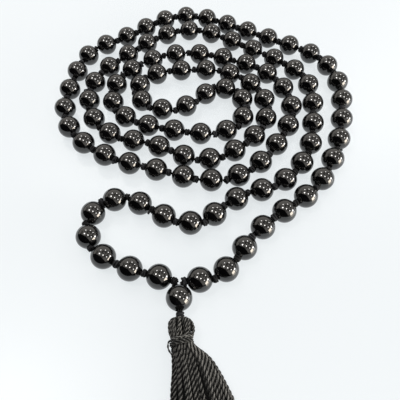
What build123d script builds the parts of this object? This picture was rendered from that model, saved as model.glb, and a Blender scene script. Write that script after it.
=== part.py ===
from build123d import *
from math import pi, radians, tan
import os

os.makedirs("parts", exist_ok=True)

# A 108-bead mala: one knotted thread through 108 round beads, a guru bead that gathers both ends of the
# thread, and a yarn tassel. It lies in one layer as a loose double spiral. Millimetres, +Z up, beads on Z = 0.
# Beads are numbered along the thread, from the one at the guru's right to the one at its left.

# Driving sizes
BEAD_D = 8.0
BORE_D = 1.6
GURU_BORE_D = 2.2
MOUTH_CHAMFER = 0.2
THREAD_D = 0.8
KNOT_D = 2.0
BEND_REACH = 0.8  # each side of a knot's middle, the length in which the thread may turn
TIP_BEND_REACH = 0.6  # the same beside the guru bead, where the knots are closer
THREAD_APART = 0.9  # between the two threads inside the guru bead
GURU_IN_Y, GURU_OUT_Y = 4.4, -4.0
ARC_SHARE = 0.45  # of the shorter of two runs, the part that their arc takes up

# Where the pieces part from each other along the strand, counted in knots from the guru's right.
TIP_FIRST, TIP_LAST = 2, 105
LOOP_FIRST, LOOP_LAST = 3, 99
INNER_FIRST, INNER_LAST = 55, 59
FREE_SPINNING_ARM = 10  # beads up to this number turn on their own, past the front loop
GROUP = 5  # beads in one node, where they are no longer nodes of their own
HINGE_GAP = 1.4  # thread left off beside a knot that is a hinge

# Beads on each stretch of the strand, and their pitch there in proportion to the others.
STRETCHES = ((24, 9.5), (68, 9.87), (16, 9.5))

# Tassel, from the guru bead's middle towards the front.
TASSEL_X, TASSEL_Z = 0.3, 3.8
TASSEL_KNOT_Y = -5.1
TASSEL_KNOT_D = 1.6
TASSEL_CORD_D = 1.2
HANGER_TOP_Y = -6.2
HEAD_TOP_Y, HEAD_Y, NECK_Y, SKIRT_Y, TASSEL_END_Y = -6.1, -8.9, -11.1, -13.1, -53.0
HEAD_R = 3.6
NECK_R = 2.2
BINDING_R = 3.5
BINDING_ROUND = 0.8
NECK_OVERLAP = 0.5
CORE_R = 1.3
CLEAR = 0.3
FLOOR_GAP = 0.05
# Sections of the skirt: distance along Y, middle in X, half width, half height
SKIRT = (
    (SKIRT_Y, TASSEL_X, 3.3, 3.3),
    (-17, 3.2, 5.4, 3.0),
    (-25, 5.2, 7.8, 2.8),
    (-38, 7.8, 10.8, 2.5),
    (TASSEL_END_Y, 10.0, 13.0, 2.2),
)

# Middle line of the strand as it lies, from the guru bead's middle: X to the right, Y away from the tassel.
ROUTE = (
    (1.5, 5.5), (14, 5), (22, 19), (34, 28.5), (47, 36), (57, 53.5), (61.5, 69.5), (63.5, 86.5),
    (58, 100.5), (42.5, 109), (26, 118.5), (7, 128.5), (-6.5, 126.5), (-21, 115), (-38.5, 107),
    (-41.5, 93.5), (-45, 74), (-39, 61.5), (-24.5, 51), (-8, 46.5), (11.5, 39.5), (26.5, 44.5),
    (37.5, 58.5), (45, 73), (37, 92), (23, 99), (6, 105), (-10.5, 102.5), (-24.5, 91), (-28, 77.5),
    (-18.5, 68), (-2.5, 63.5), (15, 60), (26.5, 67.5), (25, 82), (13.5, 87), (4.5, 73.5), (-9, 72.5),
    (-19, 81), (-14, 92.5), (3.5, 95), (22, 93), (34, 79.5), (34, 66.5), (21.5, 53.5), (8, 47.5),
    (-9.5, 58.5), (-26, 60.5), (-36, 75), (-34, 92.5), (-20, 105), (-5, 117.5), (10, 119), (26, 108),
    (41.5, 98), (52.5, 87), (50, 67), (47, 51), (34, 37), (18.5, 35.5), (7, 22), (-6, 27.5),
    (-16, 36.5), (-28.5, 34), (-32, 19.5), (-20, 11), (-9, 7.5), (-1.5, 5.5),
)  # fmt: skip


def half_turns(points):
    """Half the angle, in degrees, by which each inner point turns the line."""
    runs = [Vector(*after) - Vector(*before) for before, after in zip(points, points[1:])]
    return [run.get_angle(after) / 2 for run, after in zip(runs, runs[1:])]


def free_radii(points):
    """Arcs as large as their runs allow."""
    runs = [(Vector(*after) - Vector(*before)).length for before, after in zip(points, points[1:])]
    shorter = [min(pair) for pair in zip(runs, runs[1:])]
    return [ARC_SHARE * run / tan(radians(turn)) for run, turn in zip(shorter, half_turns(points))]


# The strand's middle line, and the knots along it. A bead is strung halfway between two knots.
with BuildLine() as lie:
    FilletPolyline(*ROUTE, radius=free_radii(ROUTE))
strand = lie.wire()
pitches = [pitch for count, pitch in STRETCHES for _ in range(count)]
stretch = strand.length / sum(pitches)
marks = [stretch * sum(pitches[:knot]) for knot in range(len(pitches) + 1)]
on_lie = [strand.position_at(mark, position_mode=PositionMode.LENGTH) for mark in marks]
centres = [(before + after) / 2 for before, after in zip(on_lie, on_lie[1:])]

# The origin is under the middle of the whole, so the guru bead is moved off it.
middle_x = (min(c.X for c in centres) + max(c.X for c in centres)) / 2
middle_y = (max(c.Y for c in centres) + BEAD_D / 2 + TASSEL_END_Y) / 2
guru = Vector(-middle_x, -middle_y, BEAD_D / 2)
knots = [point + guru for point in on_lie]
beads = [centre + guru for centre in centres]

bead_places = [Plane(origin=bead, z_dir=after - bead) for bead, after in zip(beads, knots[1:])]
knot_places = [
    Plane(origin=knot, z_dir=after - before)
    for before, knot, after in zip(knots[:1] + knots, knots, knots[1:] + knots[-1:])
]


def write(name, node):
    """Labels a finished piece and writes it as the file of its node."""
    node.part.label = name
    export_step(node.part, f"parts/{name}.step")


def string_on(name, shape, places):
    """One node of the same shape at each of its places along the strand."""
    with BuildPart() as node:
        with Locations(*places):
            add(shape)
    write(name, node)


def run_thread(name, *lengths, reach=BEND_REACH):
    """Lengths of thread through rows of beads, straight in every bore, so they turn only in their knots."""
    with BuildPart() as thread:
        for points in lengths:
            radii = [reach / tan(radians(turn)) for turn in half_turns(points)]
            with BuildLine() as path:
                if radii:
                    FilletPolyline(*points, radius=radii)
                else:
                    Line(*points)
            with BuildSketch(Plane(origin=points[0], z_dir=path.wire() % 0)):
                Circle(THREAD_D / 2)
            before = thread.part.volume if thread.part else 0
            sweep(path=path.wire())
            filled = (thread.part.volume - before) / (pi * THREAD_D**2 / 4 * path.wire().length)
            print(f"{name}: {path.wire().length:.1f} mm, smallest radius {min(radii, default=0):.1f}, "
                  f"{filled:.4f} of section x length")
    write(name, thread)


# Bead and knot, each made once with its bore along Z.
def bored_ball(bore):
    """Bead with its mouths eased, so they don't cut the thread."""
    with BuildPart() as ball:
        Sphere(BEAD_D / 2)
        Cylinder(bore / 2, BEAD_D, mode=Mode.SUBTRACT)
        chamfer(ball.edges().filter_by(GeomType.CIRCLE), MOUTH_CHAMFER)
    return ball.part


def tied_knot(across):
    """Knot pulled tight, as a ball, so that the bead beside it can tilt round it."""
    with BuildPart() as lump:
        Sphere(across / 2)
    return lump.part


bead = bored_ball(BORE_D)
knot = tied_knot(KNOT_D)
last = len(beads)
spinning = [
    *range(1, FREE_SPINNING_ARM + 1),
    *range(INNER_FIRST + 1, INNER_LAST + 1),
    *range(LOOP_LAST + 1, last + 1),
]

# Beads that turn on the thread by themselves, a node each
for number in spinning:
    string_on(f"bead_{number:03d}", bead, [bead_places[number - 1]])

# Beads of the coil, some to a node
for first, end in ((FREE_SPINNING_ARM + 1, INNER_FIRST), (INNER_LAST + 1, LOOP_LAST)):
    for start in range(first, end + 1, GROUP):
        stop = min(start + GROUP - 1, end)
        string_on(f"coil_beads_{start:03d}_{stop:03d}", bead, bead_places[start - 1 : stop])

# Knots. One on a hinge line stays with the body that the hinge hangs from.
string_on("coil_knots_right", knot, knot_places[LOOP_FIRST : INNER_FIRST + 1])
string_on("coil_knots_left", knot, knot_places[INNER_LAST : LOOP_LAST + 1])
string_on("inner_loop_knots", knot, knot_places[INNER_FIRST + 1 : INNER_LAST])
string_on("front_loop_knots", knot, [knot_places[TIP_FIRST], *knot_places[LOOP_LAST + 1 : TIP_LAST + 1]])
string_on("front_tip_knots", knot, knot_places[1:TIP_FIRST] + knot_places[TIP_LAST + 1 : last])
string_on("guru_knots", knot, [knot_places[0], knot_places[last]])


def beside(knot_number, neighbour):
    """Where a thread ends short of a knot that is its hinge."""
    away = (knots[neighbour] - knots[knot_number]).normalized()
    return knots[knot_number] + away * HINGE_GAP


# Thread, in the lengths between the hinge knots. The first and last run down through the guru bead.
run_thread("coil_thread_right", knots[LOOP_FIRST : INNER_FIRST + 1])
run_thread("coil_thread_left", knots[INNER_LAST : LOOP_LAST + 1])
run_thread(
    "inner_loop_thread",
    [
        beside(INNER_FIRST, INNER_FIRST + 1),
        *knots[INNER_FIRST + 1 : INNER_LAST],
        beside(INNER_LAST, INNER_LAST - 1),
    ],
)
run_thread(
    "front_loop_thread",
    [knots[TIP_FIRST], beside(LOOP_FIRST, TIP_FIRST)],
    [beside(LOOP_LAST, LOOP_LAST + 1), *knots[LOOP_LAST + 1 : TIP_LAST + 1]],
)
guru_run = [Vector(THREAD_APART / 2, GURU_OUT_Y, 0), Vector(THREAD_APART / 2, GURU_IN_Y, 0)]
run_thread(
    "front_tip_thread",
    [*(guru + point for point in guru_run), *knots[:TIP_FIRST], beside(TIP_FIRST, TIP_FIRST - 1)],
    [
        *(guru + Vector(-point.X, point.Y, 0) for point in guru_run),
        *reversed(knots[TIP_LAST + 1 :]),
        beside(TIP_LAST, TIP_LAST + 1),
    ],
    reach=TIP_BEND_REACH,
)

# Guru bead, bored along Y for both threads
string_on("guru_bead", bored_ball(GURU_BORE_D), [Plane(origin=guru, z_dir=(0, 1, 0))])


def hang(y, x=TASSEL_X, z=TASSEL_Z):
    """Plane across the tassel at a distance from the guru bead, its normal running down the tassel."""
    return Plane(origin=(guru.X + x, guru.Y + y, z), x_dir=(1, 0, 0), z_dir=(0, -1, 0))


# Knot under the guru bead
string_on("tassel_knot", tied_knot(TASSEL_KNOT_D), [hang(TASSEL_KNOT_Y)])

# Hanger: a short cord that ends in a stopper knot inside the tassel's head
with BuildPart() as tassel_hanger:
    with BuildSketch(hang(HANGER_TOP_Y)):
        Circle(TASSEL_CORD_D / 2)
    extrude(amount=HANGER_TOP_Y - HEAD_Y)
    with Locations(hang(HEAD_Y)):
        Sphere(CORE_R)
write("tassel_hanger", tassel_hanger)

# Head: yarn folded over the stopper knot, hollow round it
head_axis = Axis((guru.X + TASSEL_X, guru.Y, TASSEL_Z), (0, 1, 0))
head_middle = (guru.X + TASSEL_X, guru.Y + HEAD_Y)
with BuildPart() as tassel_head:
    with BuildSketch(Plane.XY.offset(TASSEL_Z)):
        with Locations(head_middle):
            Ellipse(HEAD_R, HEAD_TOP_Y - HEAD_Y)
            Circle(CORE_R + CLEAR, mode=Mode.SUBTRACT)
            Rectangle(2 * HEAD_R, 4 * HEAD_R, align=(Align.MAX, Align.CENTER), mode=Mode.SUBTRACT)
            Rectangle(
                TASSEL_CORD_D / 2 + CLEAR, HEAD_R, align=(Align.MIN, Align.MIN), mode=Mode.SUBTRACT
            )
        with Locations((guru.X + TASSEL_X, guru.Y + NECK_Y)):
            Rectangle(4 * HEAD_R, HEAD_R, align=(Align.CENTER, Align.MAX), mode=Mode.SUBTRACT)
    revolve(axis=head_axis)
write("tassel_head", tassel_head)

# Binding: thread wound round the neck, as one band
with BuildPart() as tassel_binding:
    with BuildSketch(hang(NECK_Y)):
        Circle(BINDING_R)
        Circle(NECK_R, mode=Mode.SUBTRACT)
    extrude(amount=NECK_Y - SKIRT_Y)
    rims = tassel_binding.edges().filter_by(GeomType.CIRCLE).group_by(SortBy.RADIUS)[-1]
    fillet(rims, BINDING_ROUND)
write("tassel_binding", tassel_binding)

# Skirt: the cut yarn, from its neck inside the binding to its loose ends
with BuildPart() as tassel_skirt:
    for y, x, half_width, half_height in SKIRT:
        with BuildSketch(hang(y, x, half_height + FLOOR_GAP)):
            Ellipse(half_width, half_height)
    loft()
    with BuildSketch(hang(NECK_Y)):
        Circle(NECK_R)
    extrude(amount=NECK_Y - SKIRT_Y + NECK_OVERLAP)
write("tassel_skirt", tassel_skirt)
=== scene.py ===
"""Mala prayer beads: a knotted strand of 108 polished beads with a guru bead and a yarn tassel.

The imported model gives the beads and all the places. The operators below string it with laid thread,
tie the knots, make the tassel yarn by yarn, give every surface its finish and set the stage.
"""

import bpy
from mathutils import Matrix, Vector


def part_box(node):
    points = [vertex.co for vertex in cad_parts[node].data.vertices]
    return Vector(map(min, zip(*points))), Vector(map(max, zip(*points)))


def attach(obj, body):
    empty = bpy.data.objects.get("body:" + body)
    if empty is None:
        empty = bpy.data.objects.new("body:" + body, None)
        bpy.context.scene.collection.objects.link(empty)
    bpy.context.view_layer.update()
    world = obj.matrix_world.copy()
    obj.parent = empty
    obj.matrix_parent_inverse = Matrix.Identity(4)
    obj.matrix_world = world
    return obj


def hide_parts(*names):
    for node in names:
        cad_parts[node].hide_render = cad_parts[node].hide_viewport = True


bl_info = {
    "name": "Mala Prayer Beads",
    "version": (1, 0, 0),
    "blender": (4, 5, 0),
    "location": "View3D > Sidebar > Mala",
    "description": "Strings 108 polished beads with tied knots, a guru bead and a yarn tassel",
    "category": "Add Mesh",
}

import random
from math import cos, pi, radians, sin, tau

import bmesh
import bpy
from bpy.props import FloatProperty, FloatVectorProperty, IntProperty, PointerProperty
from bpy.types import Operator, Panel, PropertyGroup
from bpy.utils import register_class, unregister_class
from mathutils import Matrix, Vector
from mathutils.kdtree import KDTree

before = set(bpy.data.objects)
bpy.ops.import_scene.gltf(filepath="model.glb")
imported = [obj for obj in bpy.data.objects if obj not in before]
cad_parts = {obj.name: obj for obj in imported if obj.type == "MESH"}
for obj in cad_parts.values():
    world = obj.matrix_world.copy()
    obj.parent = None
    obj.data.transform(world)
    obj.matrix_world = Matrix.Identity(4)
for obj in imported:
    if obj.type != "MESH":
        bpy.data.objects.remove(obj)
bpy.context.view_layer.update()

# The strand's route round the table from the guru bead's right to its left, in metres from its middle
ROUTE = (
    (0.0015, 0.0055), (0.014, 0.005), (0.022, 0.019), (0.034, 0.0285), (0.047, 0.036), (0.057, 0.0535),
    (0.0615, 0.0695), (0.0635, 0.0865), (0.058, 0.1005), (0.0425, 0.109), (0.026, 0.1185),
    (0.007, 0.1285), (-0.0065, 0.1265), (-0.021, 0.115), (-0.0385, 0.107), (-0.0415, 0.0935),
    (-0.045, 0.074), (-0.039, 0.0615), (-0.0245, 0.051), (-0.008, 0.0465), (0.0115, 0.0395),
    (0.0265, 0.0445), (0.0375, 0.0585), (0.045, 0.073), (0.037, 0.092), (0.023, 0.099), (0.006, 0.105),
    (-0.0105, 0.1025), (-0.0245, 0.091), (-0.028, 0.0775), (-0.0185, 0.068), (-0.0025, 0.0635),
    (0.015, 0.06), (0.0265, 0.0675), (0.025, 0.082), (0.0135, 0.087), (0.0045, 0.0735),
    (-0.009, 0.0725), (-0.019, 0.081), (-0.014, 0.0925), (0.0035, 0.095), (0.022, 0.093),
    (0.034, 0.0795), (0.034, 0.0665), (0.0215, 0.0535), (0.008, 0.0475), (-0.0095, 0.0585),
    (-0.026, 0.0605), (-0.036, 0.075), (-0.034, 0.0925), (-0.02, 0.105), (-0.005, 0.1175),
    (0.01, 0.119), (0.026, 0.108), (0.0415, 0.098), (0.0525, 0.087), (0.05, 0.067), (0.047, 0.051),
    (0.034, 0.037), (0.0185, 0.0355), (0.007, 0.022), (-0.006, 0.0275), (-0.016, 0.0365),
    (-0.0285, 0.034), (-0.032, 0.0195), (-0.02, 0.011), (-0.009, 0.0075), (-0.0015, 0.0055),
)

# The thread's two ends from inside the guru bead down to the tassel's knot, across it and along it
GURU_PASS = ((0.00045, 0.0044), (0.00045, -0.004), (0.0003, -0.0051))

# The skirt of the tassel at places along it from the guru: its middle, half its width, half its height
SKIRT = (
    (-0.0122, 0.0007, 0.0028, 0.0026),
    (-0.0138, 0.0009, 0.0034, 0.0031),
    (-0.0170, 0.0034, 0.0057, 0.0030),
    (-0.0210, 0.0046, 0.0070, 0.0029),
    (-0.0250, 0.0056, 0.0083, 0.0028),
    (-0.0380, 0.0084, 0.0113, 0.0025),
    (-0.0530, 0.0108, 0.0134, 0.0022),
)
TASSEL_X = 0.0003
TASSEL_Z = 0.0038

# The stretches of thread that move together: name, first knot, last knot, body, node it stands for
STRETCHES = (
    ("thread_coil_right", 3, 55, "coil", "coil_thread_right"),
    ("thread_coil_left", 59, 99, "coil", "coil_thread_left"),
    ("thread_inner_loop", 55, 59, "inner_loop", "inner_loop_thread"),
    ("thread_front_loop_right", 2, 3, "front_loop", "front_loop_thread"),
    ("thread_front_loop_left", 99, 105, "front_loop", "front_loop_thread"),
    ("thread_front_tip_right", None, 2, "front_tip", "front_tip_thread"),
    ("thread_front_tip_left", 105, None, "front_tip", "front_tip_thread"),
)

# The knots that move together: name, body, node they stand for
KNOT_GROUPS = (
    ("knots_coil_right", "coil", "coil_knots_right"),
    ("knots_coil_left", "coil", "coil_knots_left"),
    ("knots_inner_loop", "inner_loop", "inner_loop_knots"),
    ("knots_front_loop", "front_loop", "front_loop_knots"),
    ("knots_front_tip", "front_tip", "front_tip_knots"),
    ("knots_guru", "front_tip", "guru_knots"),
)


def node_middle(name):
    low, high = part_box(name)
    return (low + high) / 2


GURU = node_middle("guru_bead")


def near_guru(x, y, z=None):
    """A point given from the guru bead's middle, with its height above the table."""
    return Vector((GURU.x + x, GURU.y + y, GURU.z if z is None else z))


# ---------------------------------------------------------------- shaders


class Value:
    """A socket of a shader, with arithmetic that adds Math nodes."""

    def __init__(self, shader, socket):
        self.shader = shader
        self.socket = socket

    def maths(self, operation, *values):
        return self.shader.node("ShaderNodeMath", {"operation": operation}, dict(enumerate(values)))

    def __add__(self, other):
        return self.maths("ADD", self, other)

    def __radd__(self, other):
        return self.maths("ADD", other, self)

    def __sub__(self, other):
        return self.maths("SUBTRACT", self, other)

    def __rsub__(self, other):
        return self.maths("SUBTRACT", other, self)

    def __mul__(self, other):
        return self.maths("MULTIPLY", self, other)

    def __rmul__(self, other):
        return self.maths("MULTIPLY", other, self)

    def between(self, low, high):
        """0 below low, 1 above high and smooth in between."""
        settings = {"interpolation_type": "SMOOTHSTEP"}
        ends = {"Value": self, "From Min": low, "From Max": high}
        return self.shader.node("ShaderNodeMapRange", settings, ends)


class Shader:
    """A node tree, filled by one method."""

    def __init__(self, owner):
        owner.use_nodes = True
        self.tree = owner.node_tree
        self.tree.nodes.clear()

    def node(self, kind, settings=None, values=None, out=0):
        """Add a node, its settings first, then the values or links of its sockets; give one output."""
        node = self.tree.nodes.new(kind)
        for key, setting in (settings or {}).items():
            setattr(node, key, setting)
        for key, value in (values or {}).items():
            if isinstance(value, Value):
                self.tree.links.new(value.socket, node.inputs[key])
            else:
                node.inputs[key].default_value = value
        return Value(self, node.outputs[out]) if node.outputs else None

    def noise(self, place, scale, detail, roughness=0.55):
        values = {"Vector": place, "Scale": scale, "Detail": detail, "Roughness": roughness}
        return self.node("ShaderNodeTexNoise", {}, values)

    def mix(self, share, first, second):
        return self.node("ShaderNodeMix", {"data_type": "RGBA"}, {0: share, 6: first, 7: second}, 2)

    def bump(self, height, strength, distance, normal=None):
        values = {"Height": height, "Strength": strength, "Distance": distance}
        if normal:
            values["Normal"] = normal
        return self.node("ShaderNodeBump", {}, values)

    def surface(self, values):
        """End the tree in a Principled surface."""
        principled = self.node("ShaderNodeBsdfPrincipled", {}, values)
        self.node("ShaderNodeOutputMaterial", {}, {"Surface": principled})


def opaque(colour, factor=1.0):
    """A colour for a socket, made lighter or darker by a factor, with its alpha."""
    return tuple(part * factor for part in colour[:3]) + (1.0,)


# The lighter grains in the stone
GRAIN_COLOUR = (0.010, 0.0095, 0.009, 1.0)


def stone_finish(name, look):
    """Polished black stone: a faint grain, a little haze and hairline wear from its neighbours."""
    material = bpy.data.materials.new(name)
    shader = Shader(material)
    place = shader.node("ShaderNodeTexCoord", out="Object")
    grain = shader.noise(place, 900.0, 5.0, 0.6)
    cloud = shader.noise(place, 210.0, 3.0, 0.5)
    colour = shader.mix(cloud.between(0.45, 0.75), opaque(look.stone), opaque(look.stone, 2.4))
    colour = shader.mix(grain.between(0.62, 0.72) * 0.5, colour, GRAIN_COLOUR)
    scratch_settings = {"Vector": place, "Scale": 620.0, "Detail": 2.0, "Distortion": 6.0}
    scratch = shader.node("ShaderNodeTexNoise", {}, scratch_settings)
    worn = scratch.between(0.49, 0.5) - scratch.between(0.5, 0.51)
    haze = shader.noise(place, 380.0, 4.0, 0.6).between(0.4, 0.8)
    roughness = haze * 0.05 + worn * 0.05 + look.stone_roughness
    ripple = shader.bump(shader.noise(place, 420.0, 1.0, 0.4), 0.045, 0.0006)
    shader.surface({
        "Base Color": colour,
        "Roughness": roughness,
        "IOR": look.stone_ior,
        "Normal": shader.bump(grain, 0.02, 0.0001, ripple),
    })
    return material


# How much each pattern lightens a fibre, how much the painted highlight lightens it where a ply stands out
# from its yarn, and what is taken off their sum
STREAK, FLECK, CLOUD, TONE, CROWN_HIGHLIGHT = 0.40, 0.45, 0.25, 0.50, 1.60
FIBRE_LEVEL = 1.62

# Roughness, sheen, stretch of the streaks along the fibre and depth of the bump
THREAD_FIBRE = (0.55, 0.04, (6.0, 6.0, 1.0), 0.00006)
YARN_FIBRE = (0.8, 0.06, (9.0, 9.0, 1.0), 0.00012)


def fibre_finish(name, dark, light, roughness, sheen, fibre, depth):
    """Twisted fibre: each yarn's own tone, streaks of single fibres along the ply, flecks of fluff, and a
    painted highlight where a ply stands out with painted shade in the grooves between the plies.
    """
    material = bpy.data.materials.new(name)
    shader = Shader(material)
    place = shader.node("ShaderNodeTexCoord", out="Object")
    run = shader.node("ShaderNodeUVMap", {"uv_map": "UVMap"})
    streaks = shader.node("ShaderNodeMapping", {}, {"Vector": run, "Scale": fibre})
    streak = shader.noise(streaks, 1.0, 4.0, 0.65)
    tone = shader.node("ShaderNodeAttribute", {"attribute_name": "tone"}, out="Fac")
    # Painted light: how far each point stands out makes the fibre lighter on the tops of the plies and
    # leaves the grooves between them dark, as painted highlight and painted shade
    crown_highlight = shader.node("ShaderNodeAttribute", {"attribute_name": "crown_highlight"}, out="Fac")
    fleck = shader.noise(place, 3300.0, 3.0, 0.6)
    cloud = shader.noise(place, 420.0, 2.0, 0.5)
    patterns = streak * STREAK + fleck * FLECK + cloud * CLOUD
    weight = patterns + tone * TONE + crown_highlight * CROWN_HIGHLIGHT - FIBRE_LEVEL
    colour = shader.mix(weight.between(0.05, 0.95), opaque(dark), opaque(light))
    lint = fleck.between(0.66, 0.74) * 0.35
    colour = shader.mix(lint, colour, opaque(light, 2.2))
    shader.surface({
        "Base Color": colour,
        "Roughness": fleck * 0.2 + roughness,
        "Sheen Weight": sheen,
        "Sheen Roughness": 0.5,
        "Specular IOR Level": 0.15,
        "Normal": shader.bump(streak * 0.6 + fleck * 0.4, 0.6, depth),
    })
    return material


def finish_named(name):
    """One of the finishes, made the first time that it is asked for."""
    found = bpy.data.materials.get(name)
    if found:
        return found
    look = bpy.context.scene.mala_finish
    if name == "polished_stone":
        return stone_finish(name, look)
    if name == "knotting_thread":
        return fibre_finish(name, look.thread_dark, look.thread_light, *THREAD_FIBRE)
    if name == "binding_yarn":
        return fibre_finish(name, look.binding_dark, look.binding_light, *YARN_FIBRE)
    return fibre_finish(name, look.yarn_dark, look.yarn_light, *YARN_FIBRE)


# ---------------------------------------------------------------- thread and yarn


def strand_curve(name, lines, radius=0.0, resolution=2):
    """A curve of smooth open splines, round in section where a radius is given."""
    data = bpy.data.curves.new(name, "CURVE")
    data.dimensions = "3D"
    data.resolution_u = resolution
    data.bevel_depth = radius
    data.bevel_resolution = 1
    data.use_fill_caps = radius > 0
    for line in lines:
        spline = data.splines.new("NURBS")
        spline.points.add(len(line) - 1)
        for point, place in zip(spline.points, line):
            point.co = (*place, 1.0)
        spline.order_u = 3
        spline.use_endpoint_u = True
    return bpy.data.objects.new(name, data)


def take_mesh(curve):
    """The mesh of a curve, which is then thrown away."""
    mesh = bpy.data.meshes.new_from_object(curve)
    data = curve.data
    bpy.data.objects.remove(curve)
    bpy.data.curves.remove(data)
    return mesh


def smooth_line(points, resolution=8):
    """The places along a smooth curve with these control points."""
    mesh = take_mesh(strand_curve("guide", [points], resolution=resolution))
    line = [vertex.co.copy() for vertex in mesh.vertices]
    bpy.data.meshes.remove(mesh)
    return line


def line_length(line):
    return sum((after - before).length for before, after in zip(line, line[1:]))


def even_steps(line, step):
    """Places and directions at even steps along a line, its two ends among them."""
    total = line_length(line)
    count = max(2, round(total / step))
    places = []
    leg = 0
    done = 0.0
    for number in range(count + 1):
        wanted = total * number / count
        while leg < len(line) - 2 and done + (line[leg + 1] - line[leg]).length < wanted:
            done += (line[leg + 1] - line[leg]).length
            leg += 1
        run = line[leg + 1] - line[leg]
        share = min(1.0, max(0.0, (wanted - done) / run.length)) if run.length else 0.0
        places.append((line[leg] + run * share, run.normalized()))
    return places


PER_TURN = 8  # places along a ply in which it goes once round its yarn
MERGE = 1e-6  # points of new pieces that are nearer than this are one
CAD_MERGE = 2e-5  # the same for the CAD's loose triangles


def plies(line, make_up, start):
    """The lines of a yarn's plies, which twist round its middle line."""
    steps = even_steps(line, make_up.pitch / PER_TURN)
    side = steps[0][1].orthogonal().normalized()
    lines = [[] for _ in range(make_up.plies)]
    for number, (place, along) in enumerate(steps):
        side = (side - along * side.dot(along)).normalized()
        across = along.cross(side)
        for ply, points in enumerate(lines):
            angle = start + tau * number / PER_TURN + tau * ply / make_up.plies
            points.append(place + (side * cos(angle) + across * sin(angle)) * make_up.spread)
    return lines


def mark(mesh, name, values):
    """Give a mesh's points a number each."""
    mesh.attributes.new(name, "FLOAT", "POINT").data.foreach_set("value", values)


def in_scene(name, form, finish=None):
    """One object in the scene from a bmesh, which is then thrown away, with its finish."""
    mesh = bpy.data.meshes.new(name)
    form.to_mesh(mesh)
    form.free()
    if finish:
        mesh.materials.append(finish_named(finish))
    piece = bpy.data.objects.new(name, mesh)
    bpy.context.scene.collection.objects.link(piece)
    return piece


def gather(name, parts, finish):
    """One piece from meshes that are closed at their ends, smooth, with its finish."""
    form = bmesh.new()
    for part in parts:
        form.from_mesh(part)
        bpy.data.meshes.remove(part)
    bmesh.ops.remove_doubles(form, verts=form.verts, dist=MERGE)
    bmesh.ops.recalc_face_normals(form, faces=form.faces)
    for face in form.faces:
        face.smooth = True
    return in_scene(name, form, finish)


def belong(piece, body, slot, *nodes):
    """Let a piece move with its body and hide the CAD nodes that it stands for. The slot is not used."""
    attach(piece, body)
    if nodes:
        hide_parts(*nodes)


def yarn(line, make_up, tone, start=0.0, resolution=2):
    """One twisted yarn along a line, marked with its tone and with how far each point stands out, which
    the finish paints as a highlight on the tops of the plies and as shade in the grooves.
    """
    mesh = take_mesh(strand_curve("yarn", plies(line, make_up, start), make_up.ply, resolution))
    middle = [place for place, _ in even_steps(line, make_up.ply)]
    tree = KDTree(len(middle))
    for number, place in enumerate(middle):
        tree.insert(place, number)
    tree.balance()
    # How far each point stands out from the yarn's middle, for the painted highlight and painted shade
    reach = make_up.spread + make_up.ply
    crown_highlights = [min(1.0, tree.find(vertex.co)[2] / reach) ** 2 for vertex in mesh.vertices]
    mark(mesh, "crown_highlight", crown_highlights)
    mark(mesh, "tone", [tone] * len(mesh.vertices))
    return mesh


# A ply's radius as a share of its yarn's width, by the number of plies
PLY_SHARE = {2: 0.26, 3: 0.25}


class Yarn:
    """The make-up of a thread or yarn: its plies, width and pitch, and each ply's radius and spread."""

    def __init__(self, plies, width, pitch):
        self.plies = plies
        self.width = width
        self.pitch = pitch
        self.ply = width * PLY_SHARE[plies]
        self.spread = width / 2 - self.ply


def strand_line():
    """The whole strand's smooth line, out of the tassel's knot, round the table and back to it."""
    out = [near_guru(x, y) for x, y in reversed(GURU_PASS)]
    back = [near_guru(-x, y) for x, y in GURU_PASS[:-1]] + [near_guru(*GURU_PASS[-1])]
    return smooth_line(out + [near_guru(x, y) for x, y in ROUTE] + back, 16)


def islands(name):
    """The middles of the separate solids in a CAD node."""
    form = bmesh.new()
    form.from_mesh(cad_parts[name].data)
    bmesh.ops.remove_doubles(form, verts=form.verts, dist=CAD_MERGE)
    left = set(form.verts)
    middles = []
    while left:
        reached = [left.pop()]
        low, high = reached[0].co.copy(), reached[0].co.copy()
        while reached:
            vertex = reached.pop()
            low = Vector(map(min, low, vertex.co))
            high = Vector(map(max, high, vertex.co))
            for edge in vertex.link_edges:
                other = edge.other_vert(vertex)
                if other in left:
                    left.remove(other)
                    reached.append(other)
        middles.append((low + high) / 2)
    form.free()
    return middles


def nearest(line, place):
    """The number of the point of a line that is nearest to a place."""
    return min(range(len(line)), key=lambda number: (line[number] - place).length_squared)


def knot_places(line):
    """Every knot's place on the strand's line, in order from the guru's right to its left."""
    found = [place for _, _, node in KNOT_GROUPS for place in islands(node)]
    return sorted(nearest(line, place) for place in found)


# ---------------------------------------------------------------- settings


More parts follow.
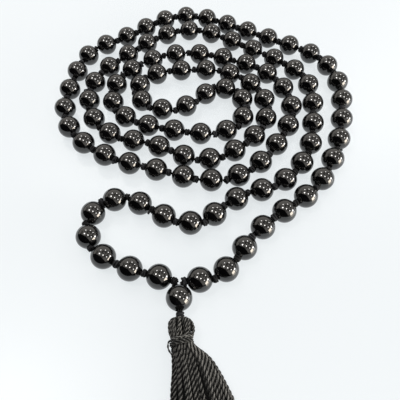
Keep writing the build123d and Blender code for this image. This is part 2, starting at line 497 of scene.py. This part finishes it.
class MalaStageSettings(PropertyGroup):
    camera_x: FloatProperty(
        name="Camera right of guru", description="How far the camera stands to the guru bead's right",
        default=0.00699, unit="LENGTH", precision=5,
    )
    camera_y: FloatProperty(
        name="Camera behind guru", description="How far the camera stands on the bead side of the guru",
        default=-0.04228, unit="LENGTH", precision=5,
    )
    camera_height: FloatProperty(
        name="Camera height", description="Height of the camera above the table",
        default=0.13369, min=0.02, unit="LENGTH", precision=5,
    )
    tilt: FloatProperty(
        name="Tilt", description="How far below level the camera looks",
        default=radians(59.71), subtype="ANGLE",
    )
    roll: FloatProperty(
        name="Roll", description="How far the camera is turned about its own line of sight",
        default=radians(-1.54), subtype="ANGLE",
    )
    lens: FloatProperty(
        name="Lens", description="Focal length of the camera in millimetres",
        default=40.36, min=10.0, max=200.0,
    )
    table_colour: FloatVectorProperty(
        name="Table", description="Colour of the table top",
        default=(0.15, 0.157, 0.168), subtype="COLOR", min=0.0, max=1.0,
    )
    table_glow: FloatVectorProperty(
        name="Table glow", description="Light that comes up through the table's white sheet",
        default=(0.685, 0.72, 0.735), subtype="COLOR", min=0.0, max=1.0,
    )
    ceiling: FloatProperty(
        name="Ceiling", description="Brightness of the room's ceiling", default=2.1, min=0.0, max=5.0,
    )
    lamps: FloatProperty(
        name="Lamps", description="Strength of each ceiling lamp", default=0.46, min=0.0, max=5.0,
    )
    window: FloatProperty(
        name="Window", description="Strength of the window light", default=13.0, min=0.0, max=50.0,
    )


class MalaThreadSettings(PropertyGroup):
    width: FloatProperty(
        name="Thread width", description="Width of the laid thread through the beads",
        default=0.0008, min=0.0003, max=0.002, unit="LENGTH", precision=5,
    )
    pitch: FloatProperty(
        name="Thread twist", description="Length of thread in which its plies turn once",
        default=0.0026, min=0.001, max=0.01, unit="LENGTH", precision=5,
    )
    knot_length: FloatProperty(
        name="Knot length", description="Length of a knot along the thread",
        default=0.0019, min=0.001, max=0.003, unit="LENGTH", precision=5,
    )
    knot_width: FloatProperty(
        name="Knot width", description="Width of a knot across the thread",
        default=0.0028, min=0.001, max=0.004, unit="LENGTH", precision=5,
    )


class MalaTasselSettings(PropertyGroup):
    yarn_width: FloatProperty(
        name="Yarn width", description="Width of a twisted yarn of the skirt",
        default=0.00104, min=0.0005, max=0.002, unit="LENGTH", precision=5,
    )
    yarn_pitch: FloatProperty(
        name="Yarn twist", description="Length of yarn in which its plies turn once",
        default=0.0029, min=0.001, max=0.01, unit="LENGTH", precision=5,
    )
    outer_yarns: IntProperty(
        name="Outer yarns", description="Yarns round the outside of the skirt", default=38, min=12, max=80,
    )
    inner_yarns: IntProperty(
        name="Inner yarns", description="Yarns inside the skirt", default=30, min=0, max=60,
    )
    head_yarns: IntProperty(
        name="Head yarns", description="Yarns round the head of the tassel", default=33, min=12, max=40,
    )
    seed: IntProperty(
        name="Seed", description="Seed of the yarns' small differences", default=11, min=0,
    )


class MalaFinishSettings(PropertyGroup):
    stone: FloatVectorProperty(
        name="Stone", description="Colour of the polished stone",
        default=(0.0014, 0.0014, 0.0016), subtype="COLOR", min=0.0, max=1.0,
    )
    stone_roughness: FloatProperty(
        name="Stone roughness", description="Roughness of the polish", default=0.03, min=0.0, max=1.0,
    )
    stone_ior: FloatProperty(
        name="Stone index", description="Refractive index of the stone", default=1.74, min=1.3, max=2.6,
    )
    thread_dark: FloatVectorProperty(
        name="Thread dark", description="Darkest colour of the knotting thread",
        default=(0.002, 0.002, 0.0025), subtype="COLOR", min=0.0, max=1.0,
    )
    thread_light: FloatVectorProperty(
        name="Thread light", description="Lightest colour of the knotting thread",
        default=(0.030, 0.032, 0.037), subtype="COLOR", min=0.0, max=1.0,
    )
    yarn_dark: FloatVectorProperty(
        name="Yarn dark", description="Darkest colour of the tassel's yarn",
        default=(0.0018, 0.0019, 0.0021), subtype="COLOR", min=0.0, max=1.0,
    )
    yarn_light: FloatVectorProperty(
        name="Yarn light", description="Lightest colour of the tassel's yarn",
        default=(0.165, 0.164, 0.158), subtype="COLOR", min=0.0, max=1.0,
    )
    binding_dark: FloatVectorProperty(
        name="Binding dark", description="Darkest colour of the binding's yarn",
        default=(0.0035, 0.0035, 0.0036), subtype="COLOR", min=0.0, max=1.0,
    )
    binding_light: FloatVectorProperty(
        name="Binding light", description="Lightest colour of the binding's yarn",
        default=(0.150, 0.152, 0.148), subtype="COLOR", min=0.0, max=1.0,
    )


# ---------------------------------------------------------------- stage

# Ceiling lamps as they show in a bead: place from its middle to its right and its top, angle and share
LAMPS_IN_BEAD = (
    (-0.13, 0.54, 10.0, 0.55),
    (0.23, 0.54, 8.0, 0.50),
    (0.46, 0.36, 8.0, 0.55),
    (-0.20, 0.28, 11.0, 1.40),
    (0.09, 0.17, 9.0, 0.95),
    (0.35, 0.01, 8.0, 0.60),
)

LAMP_COLOUR = (1.0, 0.98, 0.95)

# The window's upper and lower light: direction, width and height, colour and share of its strength
WINDOWS = (
    ("window_high", (0.95, -0.12, 0.22), (0.26, 0.24), (1.0, 0.99, 0.97), 1.5),
    ("window_low", (0.83, -0.50, 0.18), (0.50, 0.40), (1.0, 0.90, 0.76), 1.0),
)
WINDOW_DISTANCE = 1.1
TABLE_SIZE = 1.5

# The room as the beads show it: directions of its front and far side, colours and the cornice's light
ROOM_FRONT = (0.635, 0.773, 0.0)
ROOM_FAR_SIDE = (0.70, 0.70, 0.0)
ROOM_DARK = (0.005, 0.005, 0.006, 1.0)
ROOM_LIGHT = (1.0, 0.95, 0.88, 1.0)
CORNICE = 3.2
BACKDROP = (0.955, 0.98, 0.99, 1.0)


class MALA_OT_stage(Operator):
    """Lay the table, hang the lights and set up the camera"""

    bl_idname = "mala.stage"
    bl_label = "Stage"

    def execute(self, context):
        settings = context.scene.mala_stage
        self.table(settings)
        self.room(context.scene, settings)
        axes = self.camera(context.scene, settings)
        for number, (across, up, angle, share) in enumerate(LAMPS_IN_BEAD):
            direction = self.seen_in_bead(across, up, axes)
            self.lamp("lamp_%d" % (number + 1), direction, radians(angle), share * settings.lamps)
        for name, direction, size, colour, share in WINDOWS:
            self.window(name, Vector(direction), size, colour, share * settings.window)
        context.scene.view_settings.view_transform = "Standard"
        return {"FINISHED"}

    @staticmethod
    def table(settings):
        form = bmesh.new()
        bmesh.ops.create_grid(form, x_segments=1, y_segments=1, size=TABLE_SIZE)
        table = in_scene("table", form)
        material = bpy.data.materials.new("table_top")
        shader = Shader(material)
        place = shader.node("ShaderNodeTexCoord", out="Object")
        cloud = shader.noise(place, 14.0, 2.0)
        colour = settings.table_colour
        shader.surface({
            "Base Color": shader.mix(cloud, opaque(colour), opaque(colour, 0.97)),
            "Roughness": 0.32,
            "Specular IOR Level": 0.3,
            "Emission Color": opaque(settings.table_glow),
            "Emission Strength": 1.0,
        })
        table.data.materials.append(material)

    @staticmethod
    def along(shader, direction, axis):
        """How far a direction points along an axis."""
        values = {0: direction, 1: axis}
        return shader.node("ShaderNodeVectorMath", {"operation": "DOT_PRODUCT"}, values, "Value")

    def room(self, scene, settings):
        """A pale ceiling that ends low at the sides and the back, with the room's front left dark."""
        world = bpy.data.worlds.new("room")
        scene.world = world
        shader = Shader(world)
        direction = shader.node("ShaderNodeTexCoord", out="Generated")
        height = shader.node("ShaderNodeSeparateXYZ", {}, {0: direction}, "Z")
        front = self.along(shader, direction, ROOM_FRONT)
        ceiling = height.between(0.10, 0.20) * front.between(-0.46, -0.40)
        beams = shader.noise(direction, 1.7, 2.5, 0.7).between(0.40, 0.60)
        far_side = self.along(shader, direction, ROOM_FAR_SIDE).between(0.55, 0.75)
        cornice = height.between(0.19, 0.23) * (1.0 - height.between(0.23, 0.28)) * far_side
        glow = ceiling * (beams * 1.35 + 0.12) * settings.ceiling + cornice * CORNICE
        seen = shader.mix(glow, ROOM_DARK, ROOM_LIGHT)
        room = shader.node("ShaderNodeBackground", {}, {"Color": seen, "Strength": 1.0})
        backdrop = shader.node("ShaderNodeBackground", {}, {"Color": BACKDROP, "Strength": 1.0})
        plain = shader.node("ShaderNodeLightPath", out="Is Camera Ray")
        both = shader.node("ShaderNodeMixShader", {}, {0: plain, 1: room, 2: backdrop})
        shader.node("ShaderNodeOutputWorld", {}, {"Surface": both})

    @staticmethod
    def camera(scene, settings):
        """The camera, and its right, upward and backward directions without its roll."""
        right = Vector((1.0, 0.0, 0.0))
        up = Vector((0.0, sin(settings.tilt), cos(settings.tilt)))
        back = right.cross(up)
        turned_right = right * cos(settings.roll) + up * sin(settings.roll)
        turned_up = up * cos(settings.roll) - right * sin(settings.roll)
        data = bpy.data.cameras.new("camera")
        data.lens = settings.lens
        data.clip_start = 0.001
        camera = bpy.data.objects.new("camera", data)
        axes = Matrix((turned_right, turned_up, back)).transposed().to_4x4()
        place = near_guru(settings.camera_x, settings.camera_y, settings.camera_height)
        camera.matrix_world = Matrix.Translation(place) @ axes
        scene.collection.objects.link(camera)
        scene.camera = camera
        return right, up, back

    @staticmethod
    def seen_in_bead(across, up, axes):
        """The direction whose reflection shows at this place on a bead."""
        out = (1.0 - across**2 - up**2) ** 0.5
        normal = Vector((across, up, out))
        ray = normal * (2 * out) - Vector((0.0, 0.0, 1.0))
        return axes[0] * ray.x + axes[1] * ray.y + axes[2] * ray.z

    @staticmethod
    def lamp(name, direction, angle, strength):
        data = bpy.data.lights.new(name, "SUN")
        data.energy = strength
        data.angle = angle
        data.color = LAMP_COLOUR
        lamp = bpy.data.objects.new(name, data)
        lamp.rotation_euler = direction.to_track_quat("Z", "Y").to_euler()
        lamp.visible_camera = False
        bpy.context.scene.collection.objects.link(lamp)

    @staticmethod
    def window(name, direction, size, colour, power):
        data = bpy.data.lights.new(name, "AREA")
        data.shape = "RECTANGLE"
        data.size, data.size_y = size
        data.energy = power * size[0] * size[1] * pi
        data.color = colour
        window = bpy.data.objects.new(name, data)
        window.rotation_euler = direction.to_track_quat("Z", "Y").to_euler()
        window.location = direction.normalized() * WINDOW_DISTANCE
        window.visible_camera = False
        bpy.context.scene.collection.objects.link(window)


# ---------------------------------------------------------------- thread and knots


THREAD_TONE = 0.3


class MALA_OT_thread(Operator):
    """String the beads on laid thread, one length for each stretch that moves on its own"""

    bl_idname = "mala.thread"
    bl_label = "Thread"

    def execute(self, context):
        settings = context.scene.mala_thread
        make_up = Yarn(3, settings.width, settings.pitch)
        strand = strand_line()
        knots = knot_places(strand)
        for name, first, last, body, node in STRETCHES:
            start = 0 if first is None else knots[first]
            end = len(strand) - 1 if last is None else knots[last]
            line = strand[start : end + 1]
            piece = gather(name, [yarn(line, make_up, THREAD_TONE, resolution=1)], "knotting_thread")
            belong(piece, body, "thread", node)
            length = line_length(line)
        return {"FINISHED"}


# One tied knot along x, each wrap as the points that its thread goes through, in thread widths
KNOT_WRAPS = (
    ((-1.25, 0.0, 0.1), (-0.95, 0.5, 0.2), (-0.55, 1.15, 0.05), (-0.1, 0.85, -0.75), (0.3, -0.1, -1.15),
     (0.5, -1.0, -0.6), (0.25, -1.15, 0.3), (-0.2, -0.7, 1.0), (-0.55, 0.2, 1.1), (-0.6, 0.9, 0.6),
     (-0.35, 1.2, -0.2), (0.0, 0.7, -0.9)),
    ((1.25, 0.0, -0.1), (0.95, -0.5, -0.2), (0.6, -1.0, 0.3), (0.45, -0.4, 1.05), (0.4, 0.5, 1.1),
     (0.55, 1.15, 0.3), (0.6, 0.95, -0.6), (0.25, 0.2, -1.15), (-0.3, -0.6, -1.0), (-0.6, -1.1, -0.2),
     (-0.3, -0.9, 0.7), (0.1, 0.0, 1.15)),
)
KNOT_TAIL = ((0.1, 0.4, 0.7), (0.3, 1.2, 0.9), (0.1, 1.9, 0.9), (0.2, 2.4, 0.8))
WRAP_REACH_LONG = 0.6  # how far the wraps above reach along the knot
WRAP_REACH_WIDE = 1.15  # and across it
WRAP_RADIUS = 0.00043
TAIL_CHANCE = 0.16
KNOT_SEED = 5


def knot_mesh(place, along, length, width, draws, tail):
    """One knot drawn tight round the thread, turned as chance has it."""
    turn = Matrix.Rotation(draws.uniform(0, tau), 3, "X")
    side = along.orthogonal().normalized()
    axes = Matrix((along, side, along.cross(side))).transposed() @ turn
    long = (length / 2 - WRAP_RADIUS) / WRAP_REACH_LONG * draws.uniform(0.94, 1.06)
    wide = (width / 2 - WRAP_RADIUS) / WRAP_REACH_WIDE * draws.uniform(0.90, 1.08)
    wraps = KNOT_WRAPS + ((KNOT_TAIL,) if tail else ())
    lines = [
        [place + axes @ Vector((x * long, y * wide, z * wide)) for x, y, z in wrap] for wrap in wraps
    ]
    mesh = take_mesh(strand_curve("knot", lines, WRAP_RADIUS))
    # How far each point stands out from the knot's middle line, which the finish paints as a highlight on
    # the outside of the knot and as shade in its hollows
    reach = width / 2
    outward = [vertex.co - place for vertex in mesh.vertices]
    crown_highlights = [min(1.0, (out - along * out.dot(along)).length / reach) ** 2 for out in outward]
    mark(mesh, "crown_highlight", crown_highlights)
    mark(mesh, "tone", [draws.uniform(0.1, 0.7)] * len(mesh.vertices))
    return mesh


class MALA_OT_knots(Operator):
    """Tie a knot on each side of every bead"""

    bl_idname = "mala.knots"
    bl_label = "Knots"

    def execute(self, context):
        settings = context.scene.mala_thread
        strand = strand_line()
        draws = random.Random(KNOT_SEED)
        for name, body, node in KNOT_GROUPS:
            numbers = sorted(nearest(strand, place) for place in islands(node))
            parts = []
            for number in numbers:
                before = strand[max(number - 2, 0)]
                after = strand[min(number + 2, len(strand) - 1)]
                along = (after - before).normalized()
                tail = draws.random() < TAIL_CHANCE or name == "knots_guru"
                sizes = (settings.knot_length, settings.knot_width)
                parts.append(knot_mesh(strand[number], along, *sizes, draws, tail))
            belong(gather(name, parts, "knotting_thread"), body, "thread", node)
        return {"FINISHED"}


class MALA_OT_beads(Operator):
    """Polish the beads and the guru bead"""

    bl_idname = "mala.beads"
    bl_label = "Beads"

    def execute(self, context):
        stone = finish_named("polished_stone")
        for name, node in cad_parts.items():
            if "bead" in name:
                for slot in node.material_slots:
                    slot.material = stone
        return {"FINISHED"}


# ---------------------------------------------------------------- tassel


def round_tassel(y, radius, angle):
    """A place on a ring round the tassel's head, which leans to the right as it leaves the guru."""
    lean = 0.0004 * min(1.0, max(0.0, (-0.0061 - y) / 0.003))
    return near_guru(TASSEL_X + lean + radius * cos(angle), y, TASSEL_Z + radius * sin(angle))


# The knot under the guru bead, the tassel's cord and the stopper at the cord's end in the head
GURU_KNOT_Y = -0.00505
GURU_KNOT_SIZE = (0.0019, 0.0029)
CORD_MAKE_UP = (3, 0.0012, 0.003)
CORD_LINE = (-0.0055, -0.0067, -0.0078, -0.0089)
STOPPER_SIZE = (0.0022, 0.0026)
CORD_SEED = 8


class MALA_OT_tassel_cord(Operator):
    """Tie the knot under the guru bead and hang the tassel's cord from it"""

    bl_idname = "mala.tassel_cord"
    bl_label = "Tassel cord"

    def execute(self, context):
        draws = random.Random(CORD_SEED)
        place = near_guru(TASSEL_X, GURU_KNOT_Y, TASSEL_Z)
        down = Vector((0.0, -1.0, 0.0))
        parts = [knot_mesh(place, down, *GURU_KNOT_SIZE, draws, False)]
        knot = gather("knot_under_guru", parts, "knotting_thread")
        belong(knot, "tassel_knot", "thread", "tassel_knot")
        line = [near_guru(TASSEL_X, y, TASSEL_Z) for y in CORD_LINE]
        stopper = knot_mesh(line[-1], down, *STOPPER_SIZE, draws, False)
        parts = [yarn(line, Yarn(*CORD_MAKE_UP), THREAD_TONE), stopper]
        hanger = gather("hanger_cord", parts, "knotting_thread")
        belong(hanger, "tassel_hanger", "thread", "tassel_hanger")
        return {"FINISHED"}


# The head of the tassel: distance from the guru and radius of the yarns' middles
HEAD_LINE = (
    (-0.0074, 0.0008), (-0.0063, 0.0011), (-0.0062, 0.0022), (-0.0072, 0.0033), (-0.0090, 0.0036),
    (-0.0106, 0.0034), (-0.0117, 0.0028), (-0.0128, 0.0027),
)
HEAD_YARN = (2, 0.00074, 0.0025)

# The shell inside the head: radius, flattening along the cord, middle, and its hollow's share of it
FILLING_RADIUS = 0.0031
FILLING_FLATTEN = 0.82
FILLING_X = 0.0006
FILLING_Y = -0.0090
FILLING_HOLLOW = 0.72


class MALA_OT_tassel_head(Operator):
    """Fold yarn over the cord's stopper into the tassel's round head"""

    bl_idname = "mala.tassel_head"
    bl_label = "Tassel head"

    def execute(self, context):
        settings = context.scene.mala_tassel
        draws = random.Random(settings.seed)
        make_up = Yarn(*HEAD_YARN)
        parts = []
        for number in range(settings.head_yarns):
            angle = tau * (number + draws.uniform(-0.22, 0.22)) / settings.head_yarns
            fuller = draws.uniform(-0.00012, 0.00012)
            lean = draws.uniform(-0.10, 0.10)
            points = [
                round_tassel(y, radius + fuller, angle + lean * place)
                for place, (y, radius) in enumerate(HEAD_LINE)
            ]
            parts.append(yarn(smooth_line(points), make_up, draws.random(), draws.uniform(0, tau)))
        piece = gather("tassel_head_yarns", parts, "twisted_yarn")
        belong(piece, "tassel", "tassel_yarn", "tassel_head")
        self.filling()
        return {"FINISHED"}

    @staticmethod
    def filling():
        """The inner yarns of the head, a flattened shell round the stopper, in painted shade: with no
        marks of tone or of how far it stands out, the finish draws it in the yarn's dark colour.
        """
        form = bmesh.new()
        bmesh.ops.create_uvsphere(form, u_segments=24, v_segments=14, radius=FILLING_RADIUS)
        bmesh.ops.scale(form, vec=(1.0, FILLING_FLATTEN, 1.0), verts=form.verts)
        place = near_guru(FILLING_X, FILLING_Y, TASSEL_Z)
        bmesh.ops.translate(form, vec=place, verts=form.verts)
        inner = bmesh.ops.duplicate(form, geom=form.verts[:] + form.edges[:] + form.faces[:])["geom"]
        inner_verts = [part for part in inner if isinstance(part, bmesh.types.BMVert)]
        inner_faces = [part for part in inner if isinstance(part, bmesh.types.BMFace)]
        space = Matrix.Translation(-near_guru(TASSEL_X, FILLING_Y, TASSEL_Z))
        bmesh.ops.scale(form, vec=(FILLING_HOLLOW,) * 3, space=space, verts=inner_verts)
        bmesh.ops.reverse_faces(form, faces=inner_faces)
        piece = in_scene("tassel_head_filling", form, "twisted_yarn")
        piece.data.uv_layers.new(name="UVMap")
        belong(piece, "tassel", "tassel_yarn")


BINDING_SEED = 31
PER_WIND = 16  # places along the binding's yarn in which it goes once round the neck
RING_YARN = (2, 0.00062, 0.0036)
BAND_YARN = (2, 0.00092, 0.0030)
LOOP_YARN = (2, 0.0006, 0.0026)

# The loose loop's places: across, along and height
LOOP_LINE = (
    (-0.0013, -0.0126, 0.0046), (-0.0021, -0.0125, 0.0051), (-0.0029, -0.0130, 0.0055),
    (-0.0031, -0.0143, 0.0055), (-0.0027, -0.0157, 0.0052), (-0.0016, -0.0168, 0.0047),
)


class MALA_OT_binding(Operator):
    """Wind the binding round the tassel's neck, with its pale ring and loose end"""

    bl_idname = "mala.binding"
    bl_label = "Binding"

    def execute(self, context):
        draws = random.Random(BINDING_SEED)
        parts = [self.ring(draws), self.band(draws), self.loop()]
        piece = gather("tassel_binding_yarn", parts, "binding_yarn")
        belong(piece, "tassel", "tassel_yarn", "tassel_binding")
        return {"FINISHED"}

    @staticmethod
    def ring(draws):
        """A little more than one tight turn, higher on the right."""
        points = []
        for step in range(PER_WIND + 3):
            angle = tau * step / PER_WIND - 0.4
            y = -0.01195 + 0.00050 * cos(angle)
            points.append(round_tassel(y, 0.00325 + draws.uniform(-0.00005, 0.00005), angle))
        return yarn(smooth_line(points), Yarn(*RING_YARN), 1.4)

    @staticmethod
    def band(draws):
        """A turn and a half lower down, half buried in the skirt."""
        points = []
        steps = PER_WIND + 9
        for step in range(steps + 1):
            angle = tau * step / PER_WIND
            y = -0.01275 - 0.0008 * step / steps + 0.00035 * cos(angle)
            radius = 0.00306 + 0.0001 * sin(step * 0.9) + draws.uniform(-0.00008, 0.00008)
            points.append(round_tassel(y, radius, angle))
        return yarn(smooth_line(points), Yarn(*BAND_YARN), 0.35)

    @staticmethod
    def loop():
        """A loose bit of yarn that stands out at the left and turns back under the band."""
        points = [near_guru(*place) for place in LOOP_LINE]
        return yarn(smooth_line(points), Yarn(*LOOP_YARN), 0.5)


def skirt_section(y):
    """The middle, half width and half height of the skirt at a distance from the guru."""
    for (y0, *before), (y1, *after) in zip(SKIRT, SKIRT[1:]):
        if y >= y1:
            share = max(0.0, (y0 - y) / (y0 - y1))
            return [first + (second - first) * share for first, second in zip(before, after)]
    return list(SKIRT[-1][1:])


# How far out the outer and inner yarns of the skirt lie, as shares of its half width and height
OUTER_REACH = (0.93, 1.02)
INNER_REACH = (0.40, 0.72)
OFF_TABLE = 0.00005
YARN_LOW = 0.00025  # the least room between a yarn and the table, at the places that shape it
WANDER = 0.00045
ON_TABLE_Y = -0.0140  # beyond this the skirt lies on the table

# The core of the skirt, dark as painted shade: where it ends, and its share of the skirt's width and
# height
CORE_END_Y = -0.0490
CORE_WIDE, CORE_HIGH = 0.80, 0.62


class MALA_OT_skirt(Operator):
    """Hang the skirt's yarns from the neck, fanned to the right as they lie on the table"""

    bl_idname = "mala.skirt"
    bl_label = "Skirt"

    def execute(self, context):
        settings = context.scene.mala_tassel
        draws = random.Random(settings.seed + 1)
        make_up = Yarn(2, settings.yarn_width, settings.yarn_pitch)
        rows = (
            ("tassel_skirt_outer", settings.outer_yarns, OUTER_REACH),
            ("tassel_skirt_inner", settings.inner_yarns, INNER_REACH),
        )
        for name, count, reach in rows:
            parts = []
            for number in range(count):
                angle = tau * (number + draws.uniform(-0.3, 0.3)) / count
                parts.append(self.lie(angle, draws.uniform(*reach), make_up, draws))
            belong(gather(name, parts, "twisted_yarn"), "tassel", "tassel_yarn", "tassel_skirt")
        self.core()
        return {"FINISHED"}

    @staticmethod
    def core():
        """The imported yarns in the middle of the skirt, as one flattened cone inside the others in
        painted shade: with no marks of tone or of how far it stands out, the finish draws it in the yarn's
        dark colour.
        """
        form = bmesh.new()
        loops = []
        for y, middle, half_width, half_height in SKIRT[:-1] + ((CORE_END_Y, *skirt_section(CORE_END_Y)),):
            ring = bmesh.ops.create_circle(form, segments=36, radius=1.0)["verts"]
            centre = TASSEL_Z if y > ON_TABLE_Y else half_height + OFF_TABLE
            size = Matrix.Diagonal((CORE_WIDE * half_width, CORE_HIGH * half_height, 1.0, 1.0))
            stand = Matrix.Rotation(pi / 2, 4, "X")
            place = Matrix.Translation(near_guru(middle, y, centre))
            bmesh.ops.transform(form, matrix=place @ stand @ size, verts=ring)
            loops.append([edge for edge in form.edges if edge.verts[0] in ring and edge.verts[1] in ring])
        for first, second in zip(loops, loops[1:]):
            bmesh.ops.bridge_loops(form, edges=first + second)
        for loop in (loops[0], loops[-1]):
            bmesh.ops.contextual_create(form, geom=loop)
        bmesh.ops.recalc_face_normals(form, faces=form.faces)
        for face in form.faces:
            face.smooth = True
        piece = in_scene("tassel_skirt_core", form, "twisted_yarn")
        piece.data.uv_layers.new(name="UVMap")
        belong(piece, "tassel", "tassel_yarn")

    @staticmethod
    def lie(angle, reach, make_up, draws):
        """One yarn from the neck to its cut end."""
        points = []
        drift = draws.uniform(-0.10, 0.10)
        stations = [y for y, *_ in SKIRT]
        stations[-1] += draws.uniform(-0.0010, 0.0022)
        half = make_up.width / 2
        for place, y in enumerate(stations):
            middle, half_width, half_height = skirt_section(y)
            way = angle + drift * place / len(stations)
            wander = WANDER * place / len(stations)
            across = (half_width - half) * reach * cos(way) + draws.uniform(-wander, wander)
            raised = (half_height - half) * reach * sin(way) + draws.uniform(-wander, wander) * 0.6
            centre = TASSEL_Z if y > ON_TABLE_Y else half_height + OFF_TABLE
            points.append(near_guru(middle + across, y, max(half + YARN_LOW, centre + raised)))
        return yarn(smooth_line(points), make_up, draws.random(), draws.uniform(0, tau), resolution=1)


# ---------------------------------------------------------------- panel and running

SETTINGS = (
    ("mala_stage", MalaStageSettings),
    ("mala_thread", MalaThreadSettings),
    ("mala_tassel", MalaTasselSettings),
    ("mala_finish", MalaFinishSettings),
)
STEPS = (
    MALA_OT_stage,
    MALA_OT_thread,
    MALA_OT_knots,
    MALA_OT_beads,
    MALA_OT_tassel_cord,
    MALA_OT_tassel_head,
    MALA_OT_binding,
    MALA_OT_skirt,
)


class MALA_PT_panel(Panel):
    """The steps that build the beads, with their settings"""

    bl_label = "Mala prayer beads"
    bl_idname = "MALA_PT_panel"
    bl_space_type = "VIEW_3D"
    bl_region_type = "UI"
    bl_category = "Mala"

    def draw(self, context):
        layout = self.layout
        for step in STEPS:
            layout.operator(step.bl_idname)
        for name, group in SETTINGS:
            box = layout.box()
            for setting in group.__annotations__:
                box.prop(getattr(context.scene, name), setting)


CLASSES = tuple(group for _, group in SETTINGS) + STEPS + (MALA_PT_panel,)


def register():
    for item in CLASSES:
        register_class(item)
    for name, group in SETTINGS:
        setattr(bpy.types.Scene, name, PointerProperty(type=group))


def unregister():
    for name, _ in SETTINGS:
        delattr(bpy.types.Scene, name)
    for item in reversed(CLASSES):
        unregister_class(item)


def main():
    register()
    bpy.ops.mala.stage()
    bpy.ops.mala.thread()
    bpy.ops.mala.knots()
    bpy.ops.mala.beads()
    bpy.ops.mala.tassel_cord()
    bpy.ops.mala.tassel_head()
    bpy.ops.mala.binding()
    bpy.ops.mala.skirt()


if __name__ == "__main__":
    main()
